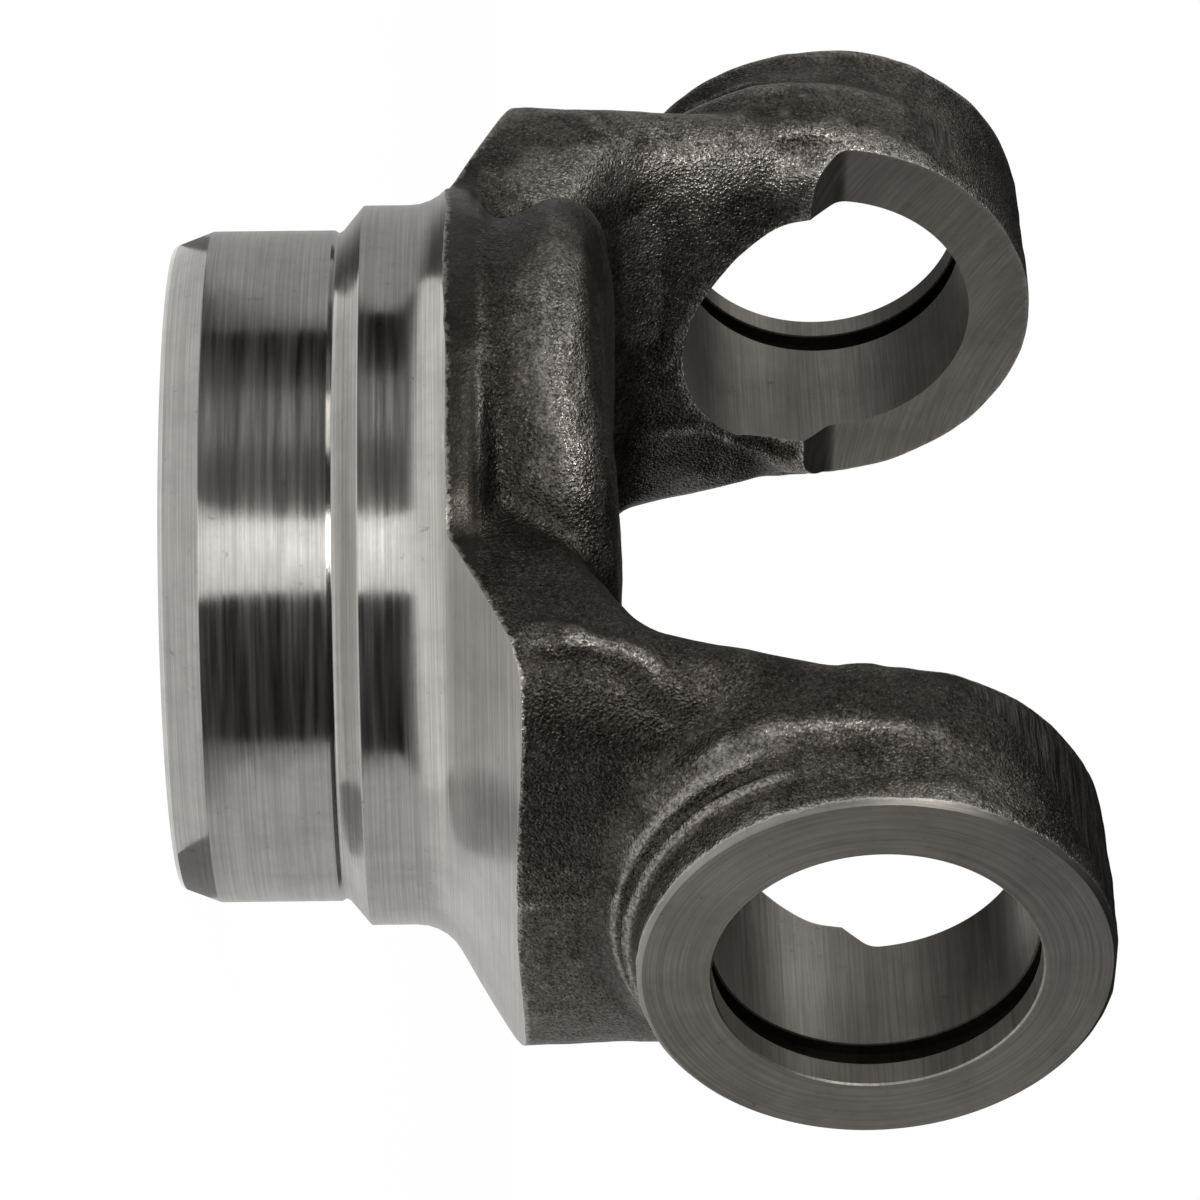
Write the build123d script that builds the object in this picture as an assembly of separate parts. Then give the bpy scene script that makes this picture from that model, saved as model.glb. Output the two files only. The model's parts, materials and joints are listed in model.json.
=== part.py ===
"""Tube yoke of a drive shaft: one steel forging with a turned spigot and two bored ears.

Millimetres. Z is the shaft axis and points from the spigot's end face to the ears. X is the axis of the
cross bore. The origin is the centre of the spigot's end face, on which the yoke stands. The forging is
the same either side of the planes X = 0 and Y = 0, and its dies parted at Y = 0.
"""

import os
from math import acos, atan2, cos, hypot, radians, sin, tan

from build123d import *

# Turned end: a spigot for the tube's bore, and a shoulder of the tube's own outside diameter
spigot_radius = 29.6
spigot_length = 14.9
lead_depth = 1.3
lead_length = 3.4
shoulder_radius = 31.75
weld_bevel_length = 1.7
shoulder_length = 6.6
cone_angle = 60
cone_root_fillet = 4.5

# Recess forged into the spigot's end
spigot_face_width = 7.8
recess_draft = 2.5
recess_floor_fillet = 5
metal_under_throat = 15.6

# Forged barrel between the cone and the throat
barrel_stock = 1.35
barrel_swell = 1.9
barrel_foot_length = 0.3
barrel_swell_length = 4
barrel_land_length = 4
barrel_rim_height = 7.1
barrel_rim_depth = 6
barrel_fillet = 4

# Cross bore and the ears round it, each measured from the shaft axis out
bore_radius = 13.5
bore_above_throat = 20.1
ear_inner_face = 34.4
ear_width = 15.7
ear_wall = 5.9
ear_draft = 0.2
ear_chamfer = 0.8
ear_root_spread = 3
ear_root_height = 3.5
snap_groove_land = 2.3
snap_groove_width = 2.3
snap_groove_depth = 1.3

# Milling of the inner ear faces, which ends just above the bore's axis in a 45 degree slope
milling_stock = 2.5
milling_above_bore = 0.8

# Forged legs, from the barrel to the ears
leg_wall = 10.9
leg_spread = 4.1
leg_corner_round = 3
leg_taper_below_throat = 4.6
leg_draft_angle = 5
leg_edge_round = 5
leg_bend_radius = 14
leg_bend_below_bore = 1.2
leg_waist_above_throat = 9.4
leg_waist_narrowing = 3.3
throat_narrowing = 1.4
throat_fillet = 4

# Past every surface, for tools that cut right through
clear = 30

# Heights along the shaft axis that follow from the sizes above
cone_start = spigot_length + weld_bevel_length + shoulder_length
swell_start = cone_start + barrel_foot_length
swell_end = swell_start + barrel_swell_length
rim_start = swell_end + barrel_land_length
throat_height = rim_start + barrel_rim_height
recess_depth = throat_height - metal_under_throat
waist_height = throat_height + leg_waist_above_throat
taper_start = throat_height - leg_taper_below_throat
bore_height = throat_height + bore_above_throat
bend_height = bore_height - leg_bend_below_bore
milling_height = bore_height + milling_above_bore

# Distances from the shaft axis and the bore's axis that follow
lead_radius = spigot_radius - lead_depth
recess_mouth_radius = lead_radius - spigot_face_width
barrel_foot_radius = shoulder_radius + barrel_stock
barrel_radius = barrel_foot_radius + barrel_swell
ear_outer_face = ear_inner_face + ear_width
ear_radius = bore_radius + ear_wall
leg_half_width = ear_radius + leg_spread
ear_half_gap = ear_inner_face - milling_stock
waist_half_gap = ear_half_gap - leg_waist_narrowing
throat_half_gap = waist_half_gap - throat_narrowing
leg_crown_radius = ear_half_gap + leg_wall


def turned_envelope():
    """All that the turning leaves: spigot, weld bevel, shoulder and cone, and everything above the cone."""
    rim = ear_outer_face + clear
    cone_top = cone_start + (rim - shoulder_radius) / tan(radians(cone_angle))
    top = max(cone_top, bore_height + ear_radius) + clear
    points = [
        (0, 0),
        (lead_radius, 0),
        (spigot_radius, lead_length),
        (spigot_radius, spigot_length),
        (shoulder_radius, spigot_length + weld_bevel_length),
        (shoulder_radius, cone_start),
        (rim, cone_top),
        (rim, top),
        (0, top),
    ]
    face = make_face(Polyline(*points, close=True))
    root = face.vertices().sort_by_distance((shoulder_radius, cone_start))[0]
    return revolve(Plane.XZ * fillet(root, cone_root_fillet), Axis.Z)


def barrel():
    """Forged drum that joins the legs, swelling above the turned cone and rounded in to the throat."""
    points = [
        (0, 0),
        (barrel_foot_radius, 0),
        (barrel_foot_radius, swell_start),
        (barrel_radius, swell_end),
        (barrel_radius, rim_start),
        (barrel_radius - barrel_rim_depth, throat_height),
        (0, throat_height),
    ]
    radii = [0, 0, barrel_fillet, barrel_fillet, barrel_fillet, barrel_fillet, 0]
    face = make_face(FilletPolyline(*points, radius=radii, close=True))
    return revolve(Plane.XZ * face, Axis.Z)


def leg_flanks():
    """Outline of the fork seen along X: straight flanks, then a taper that runs into the ears' round."""
    rise = bore_height - taper_start
    reach = hypot(leg_half_width, rise)
    touch = acos(ear_radius / reach) - atan2(rise, leg_half_width)
    touch_point = (ear_radius * cos(touch), bore_height + ear_radius * sin(touch))
    flank = [(leg_half_width, 0), (leg_half_width, taper_start), touch_point]
    other = [(-y, z) for y, z in reversed(flank)]
    sketch = make_face(Polyline(*flank, *other, close=True)) + Pos(0, bore_height) * Circle(ear_radius)
    return extrude(Plane.YZ * sketch, ear_outer_face + clear, both=True)


def leg_section():
    """Both legs as one crowned bar: the forging's section seen along the shaft."""
    reach = leg_crown_radius + clear
    sketch = Circle(leg_crown_radius) & Rectangle(2 * reach, 2 * leg_half_width)
    sketch = fillet(sketch.vertices(), leg_corner_round)
    return extrude(sketch, milling_height)


def throat_gap():
    """Gap between the legs, with its rounded throat, opening with draft away from the parting plane."""
    top = bore_height + ear_radius + clear
    right = [
        (throat_half_gap, throat_height),
        (waist_half_gap, waist_height),
        (ear_half_gap, bend_height),
        (ear_half_gap, top),
    ]
    radii = [throat_fillet, leg_bend_radius, leg_bend_radius, 0]
    left = [(-x, z) for x, z in reversed(right)]
    face = make_face(FilletPolyline(*right, *left, radius=radii + radii[::-1], close=True))
    return extrude(Plane.XZ * face, leg_half_width + clear, both=True, taper=-leg_draft_angle)


def fork():
    """Forged legs with their throat and flank taper, the gap's edges rounded over."""
    gap = throat_gap()
    solid = (leg_section() & leg_flanks()) - gap
    round_over = min(leg_edge_round, leg_wall / 2)
    return fillet(gap_rim_edges(solid, gap), round_over)


def gap_rim_edges(solid, gap):
    """The long edges where the gap's surface meets the legs' flanks."""
    touch = 0.01
    rim = []
    for edge in solid.edges():
        on_gap = gap.distance_to(Vertex(edge.position_at(0.5))) < touch
        beside_parting_plane = min(abs(edge.position_at(0).Y), abs(edge.position_at(1).Y)) > touch
        if on_gap and beside_parting_plane:
            rim.append(edge)
    return rim


def ear(side):
    """One drafted ear boss along the bore's axis, spread at its root where it leaves the leg."""
    face_radius = ear_radius - ear_draft
    boss = Cone(ear_radius, face_radius, ear_width)
    boss = chamfer(boss.edges().filter_by(GeomType.CIRCLE).sort_by(Axis.Z)[-1], ear_chamfer)
    boss = Pos(0, 0, ear_inner_face + ear_width / 2) * boss
    root = Cone(ear_radius + ear_root_spread, face_radius, 2 * ear_root_height)
    root = Pos(0, 0, leg_crown_radius) * root
    turn = Rot(0, 90 * side, 0)
    root = Pos(0, 0, bore_height) * turn * root & leg_flanks()
    return Pos(0, 0, bore_height) * turn * boss + root


def inner_milling():
    """Cutter for the flat inner ear faces, with a slope where it runs out to the forged leg."""
    slope = 4 * milling_stock
    top = bore_height + ear_radius + clear
    right = [
        (ear_inner_face - slope, milling_height - slope),
        (ear_inner_face, milling_height),
        (ear_inner_face, top),
    ]
    left = [(-x, z) for x, z in reversed(right)]
    face = make_face(Polyline(*right, *left, close=True))
    return extrude(Plane.XZ * face, ear_radius + clear, both=True)


def cross_bore():
    """Cutter for the two bores on one axis, with a snap-ring groove near each outer face."""
    bore = Cylinder(bore_radius, 2 * (ear_outer_face + clear))
    ring = Cylinder(bore_radius + snap_groove_depth, snap_groove_width)
    offset = ear_outer_face - snap_groove_land - snap_groove_width / 2
    cutter = bore + Pos(0, 0, offset) * ring + Pos(0, 0, -offset) * ring
    return Pos(0, 0, bore_height) * Rot(0, 90, 0) * cutter


def end_recess():
    """Cup forged into the spigot's end, with draft and a rounded floor."""
    points = [
        (0, 0),
        (recess_mouth_radius, 0),
        (recess_mouth_radius - recess_draft, recess_depth),
        (0, recess_depth),
    ]
    face = make_face(FilletPolyline(*points, radius=[0, 0, recess_floor_fillet, 0], close=True))
    return revolve(Plane.XZ * face, Axis.Z)


def build_yoke():
    """The forging, then every cut made in it."""
    blank = fork() + barrel() + ear(1) + ear(-1)
    turned = blank & turned_envelope()
    return turned - inner_milling() - cross_bore() - end_recess()


yoke = build_yoke()
os.makedirs("parts", exist_ok=True)
export_step(yoke, "parts/forged_yoke.step")
print("volume", round(yoke.volume / 1000, 1), "cm3", yoke.bounding_box())
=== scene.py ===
"""Looks of the forged yoke: its forged skin, its turned, bored and milled faces, and a pale studio.

A forged blank is worked out with numpy and welded into one skin, and then the same cuts are made in it that
a machine shop makes in the real forging, so each machined face ends in a ragged edge where the skin begins.
Run as a script. Sizes in the property groups are millimetres, and the scene is in metres.
"""

import json
import math

import bmesh
import bpy
import numpy as np
from bpy.props import FloatProperty, IntProperty, PointerProperty
from mathutils import Matrix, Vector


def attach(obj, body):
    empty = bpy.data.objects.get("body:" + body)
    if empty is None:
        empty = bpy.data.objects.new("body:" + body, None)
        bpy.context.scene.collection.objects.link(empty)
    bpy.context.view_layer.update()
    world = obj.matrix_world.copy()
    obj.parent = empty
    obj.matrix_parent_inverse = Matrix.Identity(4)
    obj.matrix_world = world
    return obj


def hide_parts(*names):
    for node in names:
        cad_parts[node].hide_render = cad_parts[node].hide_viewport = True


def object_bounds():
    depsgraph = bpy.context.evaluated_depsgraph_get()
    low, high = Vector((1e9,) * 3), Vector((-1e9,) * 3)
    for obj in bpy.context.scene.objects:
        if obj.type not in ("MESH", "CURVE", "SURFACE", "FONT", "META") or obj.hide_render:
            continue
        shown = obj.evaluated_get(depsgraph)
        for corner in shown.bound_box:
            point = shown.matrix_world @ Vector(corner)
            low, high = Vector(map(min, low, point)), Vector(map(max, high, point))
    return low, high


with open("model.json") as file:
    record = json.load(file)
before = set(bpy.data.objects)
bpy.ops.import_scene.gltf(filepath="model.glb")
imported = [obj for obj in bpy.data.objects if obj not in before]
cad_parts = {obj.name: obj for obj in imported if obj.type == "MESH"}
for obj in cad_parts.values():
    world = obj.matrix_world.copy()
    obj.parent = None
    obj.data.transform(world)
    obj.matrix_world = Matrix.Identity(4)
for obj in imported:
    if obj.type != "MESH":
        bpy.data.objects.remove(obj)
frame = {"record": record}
CAD_LOW, CAD_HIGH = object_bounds()

bl_info = {
    "name": "Forged yoke",
    "version": (1, 0, 0),
    "blender": (4, 5, 0),
    "location": "View3D > Sidebar > Yoke",
    "description": "Builds the forged skin, the machined faces and the studio of a drive shaft's tube yoke",
    "category": "Mesh",
}

MM = 0.001
NODE = "forged_yoke"
MOUNTS = {mount["name"]: mount for mount in frame["record"]["mounts"]}
BORE = MOUNTS["cross_bore"]
SPIGOT = MOUNTS["spigot"]
BORE_HEIGHT = BORE["pos_m"][2] / MM
BORE_RADIUS = BORE["dims"]["r_mm"]
EAR_OUTER_FACE = BORE["dims"]["length_mm"] / 2
SPIGOT_RADIUS = SPIGOT["dims"]["r_mm"]
EAR_RADIUS = CAD_HIGH.z / MM - BORE_HEIGHT

# Millimetres: where the blank starts below the end face, where its legs end, and how close it may come to
# the CAD box from inside
BLANK_START = -3
LEG_TOP = 64
BOX_GAP = 0.01

# Metres from the shaft axis and up: the cards, the strips of floor before them, the hood and the lamps
CARD_DISTANCE = 0.6
CARD_TOP = 0.16
CARD_LIFT = 0.0004
APRON_START = 0.022
APRON_END = 0.036
HOOD_MIDDLE = 0.6
HOOD_TOP = 1.1
HOOD_HOLE = 0.02
LAMP_DISTANCE = 0.58
LAMP_AIM = 0.04


def number(name, description, default, low=0.0, high=100.0):
    """A plain size in millimetres, or a share, with its limits."""
    return FloatProperty(name=name, description=description, default=default, min=low, max=high)


class TurnedSizes(bpy.types.PropertyGroup):
    """Sizes of the turned end, in millimetres."""

    spigot_length: number("Spigot length", "Parallel spigot, up to the weld bevel", 14.9)
    lead_length: number("Lead length", "Length of the lead chamfer", 3.4)
    lead_depth: number("Lead depth", "How far the lead chamfer goes in", 1.3)
    root_relief: number("Root relief", "Depth of the fine groove at the spigot's root", 0.25)
    bevel_length: number("Weld bevel", "Length of the bevel between spigot and shoulder", 1.7)
    shoulder_radius: number("Shoulder radius", "Radius of the shoulder", 31.75)
    cone_start: number("Cone start", "Height where the cone would meet the shoulder", 23.2)
    cone_slope: number("Cone slope", "How much the cone widens for each unit of height", 1.78)
    cone_fillet: number("Cone fillet", "Radius between shoulder and cone", 4.5)
    edge_round: number("Edge round", "Small rounding left on turned edges", 0.25)
    recess_mouth: number("Recess mouth", "Radius of the recess at the spigot's end face", 20.5)
    recess_floor: number("Recess floor", "Radius of the recess at its floor", 18.0)
    recess_depth: number("Recess depth", "Depth of the recess", 23.0)


class ForgedSizes(bpy.types.PropertyGroup):
    """Sizes of the forged blank, in millimetres."""

    throat_height: number("Throat height", "Height of the floor between the legs", 38.6)
    foot_radius: number("Foot radius", "Radius of the drum's round foot", 33.2)
    foot_top: number("Foot top", "Height where the round foot ends", 26.2)
    hump_offset: number("Hump offset", "How far each hump's own centre lies from the shaft axis", 11.8)
    leg_crown: number("Leg crown", "How far out the leg's outer face stands", 42.9)
    leg_width: number("Leg half width", "Half width of a leg at its foot", 23.5)
    voxel: number("Skin cell", "Side of the cells that weld the blank into one skin", 0.6, 0.2, 5.0)
    blend: IntProperty(name="Blend", description="Smoothing passes that round inner corners", default=14)
    seed: IntProperty(name="Seed", description="Seed of the skin's unevenness", default=11)


class EarSizes(bpy.types.PropertyGroup):
    """Sizes of the machined ears, in millimetres."""

    inner_face: number("Inner face", "Distance of the milled inner face from the shaft axis", 34.4)
    milling_above_bore: number("Milling end", "Height above the bore's axis where the slope starts", 0.8)
    milling_round: number("Milling run-out", "Radius where the milled face turns into the slope", 2.0)
    groove_land: number("Groove land", "Wall between the outer face and the snap-ring groove", 2.3)
    groove_width: number("Groove width", "Width of the snap-ring groove", 2.3)
    groove_depth: number("Groove depth", "Depth of the snap-ring groove", 1.3)
    chamfer: number("Face chamfer", "Chamfer round the outer ear face", 0.25)
    bore_edge: number("Bore edge", "Chamfer at the bore's mouth", 0.15)


class StudioSizes(bpy.types.PropertyGroup):
    """The camera, the cards' levels, where 1 is white, and the lamps' power in watts."""

    lens: number("Lens", "Focal length in millimetres", 148.95, 10.0, 500.0)
    plain: number("Plain light", "Strength of the plain light from all round", 0.1)
    wall_front: number("Front wall", "Level of the bright strip beside the camera", 1.12)
    wall_upper: number("Upper wall", "Level of the wall above the camera's side", 0.08)
    wall_black: number("Black wall", "Level of the black strip above it", 0.0)
    wall_top: number("Top wall", "Level of the wall towards the picture's top", 0.42)
    wall_dark: number("Dark wall", "Level of the dark wall below the camera's side", 0.0)
    wall_low: number("Low wall", "Level of the wall towards the picture's bottom", 0.54)
    grid_front: number("Front grid", "Level of the floor grid on the camera's side, from above", 0.95)
    grid_top: number("Top grid", "Level of the floor grid towards the top, seen from above", 0.08)
    grid_low: number("Low grid", "Level of the floor grid towards the bottom, seen from above", 0.75)
    apron_front: number("Front apron", "Level of the floor at the foot, on the camera's side", 0.7)
    apron_top: number("Top apron", "Level of the floor at the foot, towards the top", 0.16)
    apron_low: number("Low apron", "Level of the floor at the foot, towards the bottom", 0.22)
    hood_mid: number("Hood middle", "Level of the hood at middle height on the camera's side", 0.0)
    hood_high: number("Hood high", "Level of the hood's ceiling on the camera's side", 0.2)
    hood_top: number("Hood top", "Level of the hood towards the picture's top", 0.03)
    hood_low: number("Hood low", "Level of the hood towards the picture's bottom", 0.0)
    lamp_front: number("Front lamp", "Lamp just above the camera", 1.0)
    lamp_key: number("Key lamp", "Lamp high towards the picture's top", 0.35)
    lamp_side: number("Side lamp", "Lamp at middle height towards the picture's top", 0.32)
    lamp_back: number("Back lamp", "Lamp behind, towards the picture's top", 0.15)
    lamp_fill: number("Fill lamp", "Soft lamp below the camera's side", 0.1)


def sizes(group):
    """The scene's own copy of a property group."""
    return getattr(bpy.context.scene, group)


def placed(name, data):
    """New object with this data, in the scene."""
    made = bpy.data.objects.new(name, data)
    bpy.context.scene.collection.objects.link(made)
    return made


def discard(piece):
    """Removes a piece and its mesh."""
    mesh = piece.data
    bpy.data.objects.remove(piece)
    bpy.data.meshes.remove(mesh)


def read(rows, field, width=1, kind=np.float32):
    """One field of every row of a mesh collection, as an array."""
    values = np.empty(len(rows) * width, kind)
    rows.foreach_get(field, values)
    return values.reshape(-1, width) if width > 1 else values


def store(mesh, name, values):
    """Stores a number for every point of a mesh, for its material to read."""
    mesh.attributes.new(name, "FLOAT", "POINT").data.foreach_set("value", values.astype(np.float32))


def eased(share):
    """Share held between 0 and 1, that starts and ends level."""
    share = np.clip(share, 0, 1)
    return share * share * (3 - 2 * share)


def bell(distance, width):
    """Bell curve: 1 at no distance, and falling off over a width."""
    return np.exp(-((distance / width) ** 2))


# Surfaces as numpy grids


def grid_faces(rows, columns, first=0):
    """Quads of a grid of points that closes on itself across the columns."""
    row = np.arange(rows - 1)[:, None]
    column = np.arange(columns)[None, :]
    following = (column + 1) % columns
    low = first + row * columns
    high = low + columns
    return np.stack([low + column, low + following, high + following, high + column], -1).reshape(-1, 4)


def closed_form(name, rings):
    """Object in metres from closed rings of points in millimetres, with a point closing each end."""
    rows, columns, _ = rings.shape
    ends = np.stack([rings[0].mean(0), rings[-1].mean(0)])
    points = np.concatenate([rings.reshape(-1, 3), ends]) * MM
    column = np.arange(columns)
    following = (column + 1) % columns
    first_fan = np.stack([np.full(columns, rows * columns), following, column], -1)
    last = (rows - 1) * columns
    last_fan = np.stack([np.full(columns, rows * columns + 1), last + column, last + following], -1)
    faces = grid_faces(rows, columns).tolist() + first_fan.tolist() + last_fan.tolist()
    mesh = bpy.data.meshes.new(name)
    mesh.from_pydata(points.tolist(), [], faces)
    outward(mesh)
    return placed(name, mesh)


def outward(mesh):
    """Turns every face of a closed mesh outwards."""
    work = bmesh.new()
    work.from_mesh(mesh)
    bmesh.ops.recalc_face_normals(work, faces=work.faces)
    work.to_mesh(mesh)
    work.free()


def about_shaft(radius, height, turn):
    """Points at a radius and height from the shaft axis, one ring for each pair."""
    radius, height = np.broadcast_arrays(radius[:, None], height[:, None])
    return np.stack([radius * np.cos(turn), radius * np.sin(turn), height + 0 * turn], -1)


def about_bore(radius, distance, turn, side=1):
    """Points at a radius from the bore's axis and a distance out along it on one side."""
    distance = np.broadcast_to(distance[:, None], (len(distance), len(turn)))
    radius = np.broadcast_to(radius if radius.ndim == 2 else radius[:, None], distance.shape)
    return np.stack([side * distance, radius * np.cos(turn), BORE_HEIGHT + radius * np.sin(turn)], -1)


def circle(steps):
    """Angles once round."""
    return np.linspace(0, 2 * math.pi, steps, endpoint=False)


def dense(points, step):
    """The same profile with more points, no further apart than the step."""
    points = np.asarray(points, float)
    out = [points[:1]]
    for start, end in zip(points[:-1], points[1:]):
        count = max(1, int(math.ceil(np.linalg.norm(end - start) / step)))
        share = np.arange(1, count + 1)[:, None] / count
        out.append(start + share * (end - start))
    return np.concatenate(out)


def rounded(points, radii, steps=6):
    """Open profile with its corners rounded: each corner becomes an arc tangent to both its sides."""
    points = np.asarray(points, float)
    out = [points[0]]
    for before, corner, after, radius in zip(points[:-2], points[1:-1], points[2:], radii):
        if radius <= 0:
            out.append(corner)
            continue
        one = (before - corner) / np.linalg.norm(before - corner)
        two = (after - corner) / np.linalg.norm(after - corner)
        half = math.acos(np.clip(one @ two, -1, 1)) / 2
        middle = (one + two) / np.linalg.norm(one + two)
        centre = corner + middle * radius / math.sin(half)
        start = corner + one * radius / math.tan(half)
        end = corner + two * radius / math.tan(half)
        low, high = start - centre, end - centre
        turn = math.atan2(low[0] * high[1] - low[1] * high[0], low @ high)
        angle = np.linspace(0, turn, steps)[:, None]
        cos, sin = np.cos(angle), np.sin(angle)
        out.extend(centre + np.concatenate([low[0] * cos - low[1] * sin, low[0] * sin + low[1] * cos], 1))
    out.append(points[-1])
    return np.array(out)


def along(height, table):
    """Smooth curve through a table of (height, value) pairs, level at both ends."""
    table = np.asarray(table, float)
    index = np.clip(np.searchsorted(table[:, 0], height, side="right") - 1, 0, len(table) - 2)
    low, high = table[index], table[index + 1]
    share = np.clip((height - low[:, 0]) / (high[:, 0] - low[:, 0]), 0, 1)
    slopes = np.gradient(table[:, 1], table[:, 0])
    width = high[:, 0] - low[:, 0]
    a, b = slopes[index] * width, slopes[index + 1] * width
    s2, s3 = share**2, share**3
    start = (2 * s3 - 3 * s2 + 1) * low[:, 1] + (s3 - 2 * s2 + share) * a
    return start + (3 * s2 - 2 * s3) * high[:, 1] + (s3 - s2) * b


def oval(turn, inner, outer, width, inner_power, outer_power):
    """Superellipse whose two halves along X have their own reach and power, one ring for each row."""
    cos, sin = np.cos(turn)[None, :], np.sin(turn)[None, :]
    reach = np.where(cos < 0, inner[:, None], outer[:, None])
    power = np.where(cos < 0, inner_power[:, None], outer_power[:, None])
    x = np.sign(cos) * np.abs(cos) ** (2 / power) * reach
    y = np.sign(sin) * np.abs(sin) ** (2 / power) * width[:, None]
    return x, y


# The forged blank


def barrel_form():
    """Drum below the throat, in polar form about the shaft.

    Its foot is a circle. Above it two smaller circles, set apart along Y, leave a hump on each side and a
    valley next to each leg, and the top edge is rounded and falls off towards the outside.
    """
    s = sizes("yoke_forged")
    top = s.throat_height
    edge, foot_blend, fall_depth = 2.4, 2.0, 2.3
    rise = edge * np.sin(np.linspace(0.08, 1, 10) * math.pi / 2)
    height = np.concatenate([np.linspace(BLANK_START, top - edge, 60), top - edge + rise])
    turn = circle(200)
    from_y = np.abs(np.sin(turn))[None, :]
    from_x = np.abs(np.cos(turn))[None, :]
    table = [(BLANK_START, 20.8), (27, 20.8), (30, 21.5), (33, 22.6), (35.5, 23.1)]
    table += [(top - 2.2, 22.8), (top - 1.1, 22.0), (top - 0.3, 20.2), (top, 16)]
    small = along(height, table)
    humps = s.hump_offset * from_y + np.sqrt(small[:, None] ** 2 - (s.hump_offset * from_x) ** 2)
    foot = eased((height - s.foot_top) / foot_blend)[:, None]
    radius = s.foot_radius * (1 - foot) + humps * foot
    x, y = radius * np.cos(turn), radius * np.sin(turn)
    fall = np.clip((np.abs(y) - 13) / 19, 0, 1) ** 2 * np.clip((height[:, None] - 29) / 7, 0, 1)
    return closed_form("barrel_blank", np.stack([x, y, height[:, None] - fall_depth * fall], -1))


def leg_form(side):
    """One leg: an oval section carried up from the barrel into the ear, rounder towards the gap."""
    s = sizes("yoke_forged")
    throat, crown, wide = s.throat_height, s.leg_crown, s.leg_width
    height = np.linspace(BLANK_START, LEG_TOP, 110)
    middle = along(height, [(BLANK_START, 34), (36, 34), (40, 35), (48, 36), (LEG_TOP, 38.5)])
    table = [(BLANK_START, 19), (throat - 2.5, 19), (throat, 24.2), (throat + 1.6, 26.2)]
    table += [(throat + 4, 27.4), (48, 28.7), (52, 30.2), (56, 31.7), (60, 32.4), (LEG_TOP, 33.0)]
    near_swell = 0.45 * (side > 0) * bell(height - 47, 6)
    inner_face = along(height, table) + near_swell
    table = [(BLANK_START, crown), (40, crown), (50, crown + 0.3), (LEG_TOP, crown + 0.6)]
    outer_face = along(height, table)
    table = [(BLANK_START, wide), (34, wide), (40, wide - 0.7), (48, 21.5), (56, 20.6), (60, 19.6)]
    width = along(height, table + [(LEG_TOP, 17.0)])
    inner_power = along(height, [(BLANK_START, 3.0), (35, 3.0), (40, 2.3), (48, 2.45), (LEG_TOP, 2.4)])
    outer_power = along(height, [(BLANK_START, 2.2), (36, 2.2), (40, 2.05), (48, 2.2), (LEG_TOP, 2.6)])
    x, y = oval(circle(140), middle - inner_face, outer_face - middle, width, inner_power, outer_power)
    x = side * (x + middle[:, None])
    return closed_form("leg_blank", np.stack([x, y, np.broadcast_to(height[:, None], x.shape)], -1))


def ear_form(side):
    """One ear: a drum about the bore's axis, flared at its root on the side where the leg runs in.

    Its inner edge is a quarter round, and its radius changes a little from its root to its tip, by more on
    the near ear than on the far one.
    """
    inner, corner, root, tip = (32.1, 3.4, 0.25, 0.2) if side > 0 else (31.8, 3.1, -0.15, -0.35)
    turn = circle(160)
    edge = np.linspace(0.04, 1, 14) * math.pi / 2
    straight = np.linspace(inner + corner + 0.4, EAR_OUTER_FACE + 1.5, 44)
    distance = np.concatenate([inner + corner * (1 - np.cos(edge)), straight])
    below = np.concatenate([corner * (1 - np.sin(edge)), np.zeros(len(straight))])
    drum = np.interp(distance, [36, EAR_OUTER_FACE], [EAR_RADIUS + root, EAR_RADIUS + tip]) - below
    down = eased(0.5 - 0.75 * np.sin(turn))
    past_leg = np.clip(distance - 42.8, 0, None)
    flare = 3.2 * np.exp(-past_leg / 1.1) * (distance > inner + corner) + 0.5 * bell(distance - 45.6, 0.7)
    radius = drum[:, None] + flare[:, None] * down[None, :]
    return closed_form("ear_blank", about_bore(radius, distance, turn, side))


def lattice_noise(points, cell, seed):
    """Value noise from -1 to 1: a random number at each corner of cubes of one cell, blended smoothly."""
    size = 64
    table = np.random.default_rng(seed).random((size, size, size)) * 2 - 1
    place = points / cell
    low = np.floor(place).astype(int)
    share = eased(place - low)
    total = np.zeros(len(points))
    for corner in np.ndindex(2, 2, 2):
        index = (low + corner) % size
        weight = np.prod(np.where(corner, share, 1 - share), axis=1)
        total += weight * table[index[:, 0], index[:, 1], index[:, 2]]
    return total


def rough_skin(points, seed):
    """How far the forged skin stands out or in: slow waves and hammer-scale lumps, in mm."""
    waves = 0.16 * lattice_noise(points, 9.0, seed) + 0.10 * lattice_noise(points, 4.3, seed + 1)
    lumps = 0.07 * lattice_noise(points, 2.1, seed + 2) + 0.05 * lattice_noise(points, 1.15, seed + 3)
    return waves + lumps


def near_path(points, path):
    """Distance of every point from the straight runs of a path."""
    path = np.asarray(path, float)
    best = np.full(len(points), 99.0)
    for start, end in zip(path[:-1], path[1:]):
        way = end - start
        share = np.clip((points - start) @ way / (way @ way), 0, 1)
        best = np.minimum(best, np.linalg.norm(points - start - share[:, None] * way, axis=1))
    return best


def path_bells(points, lines):
    """Sum of bell curves of the distance from paths, each path with its height and width."""
    total = np.zeros(len(points))
    for height, width, path in lines:
        total += height * bell(near_path(points, path), width)
    return total


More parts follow.
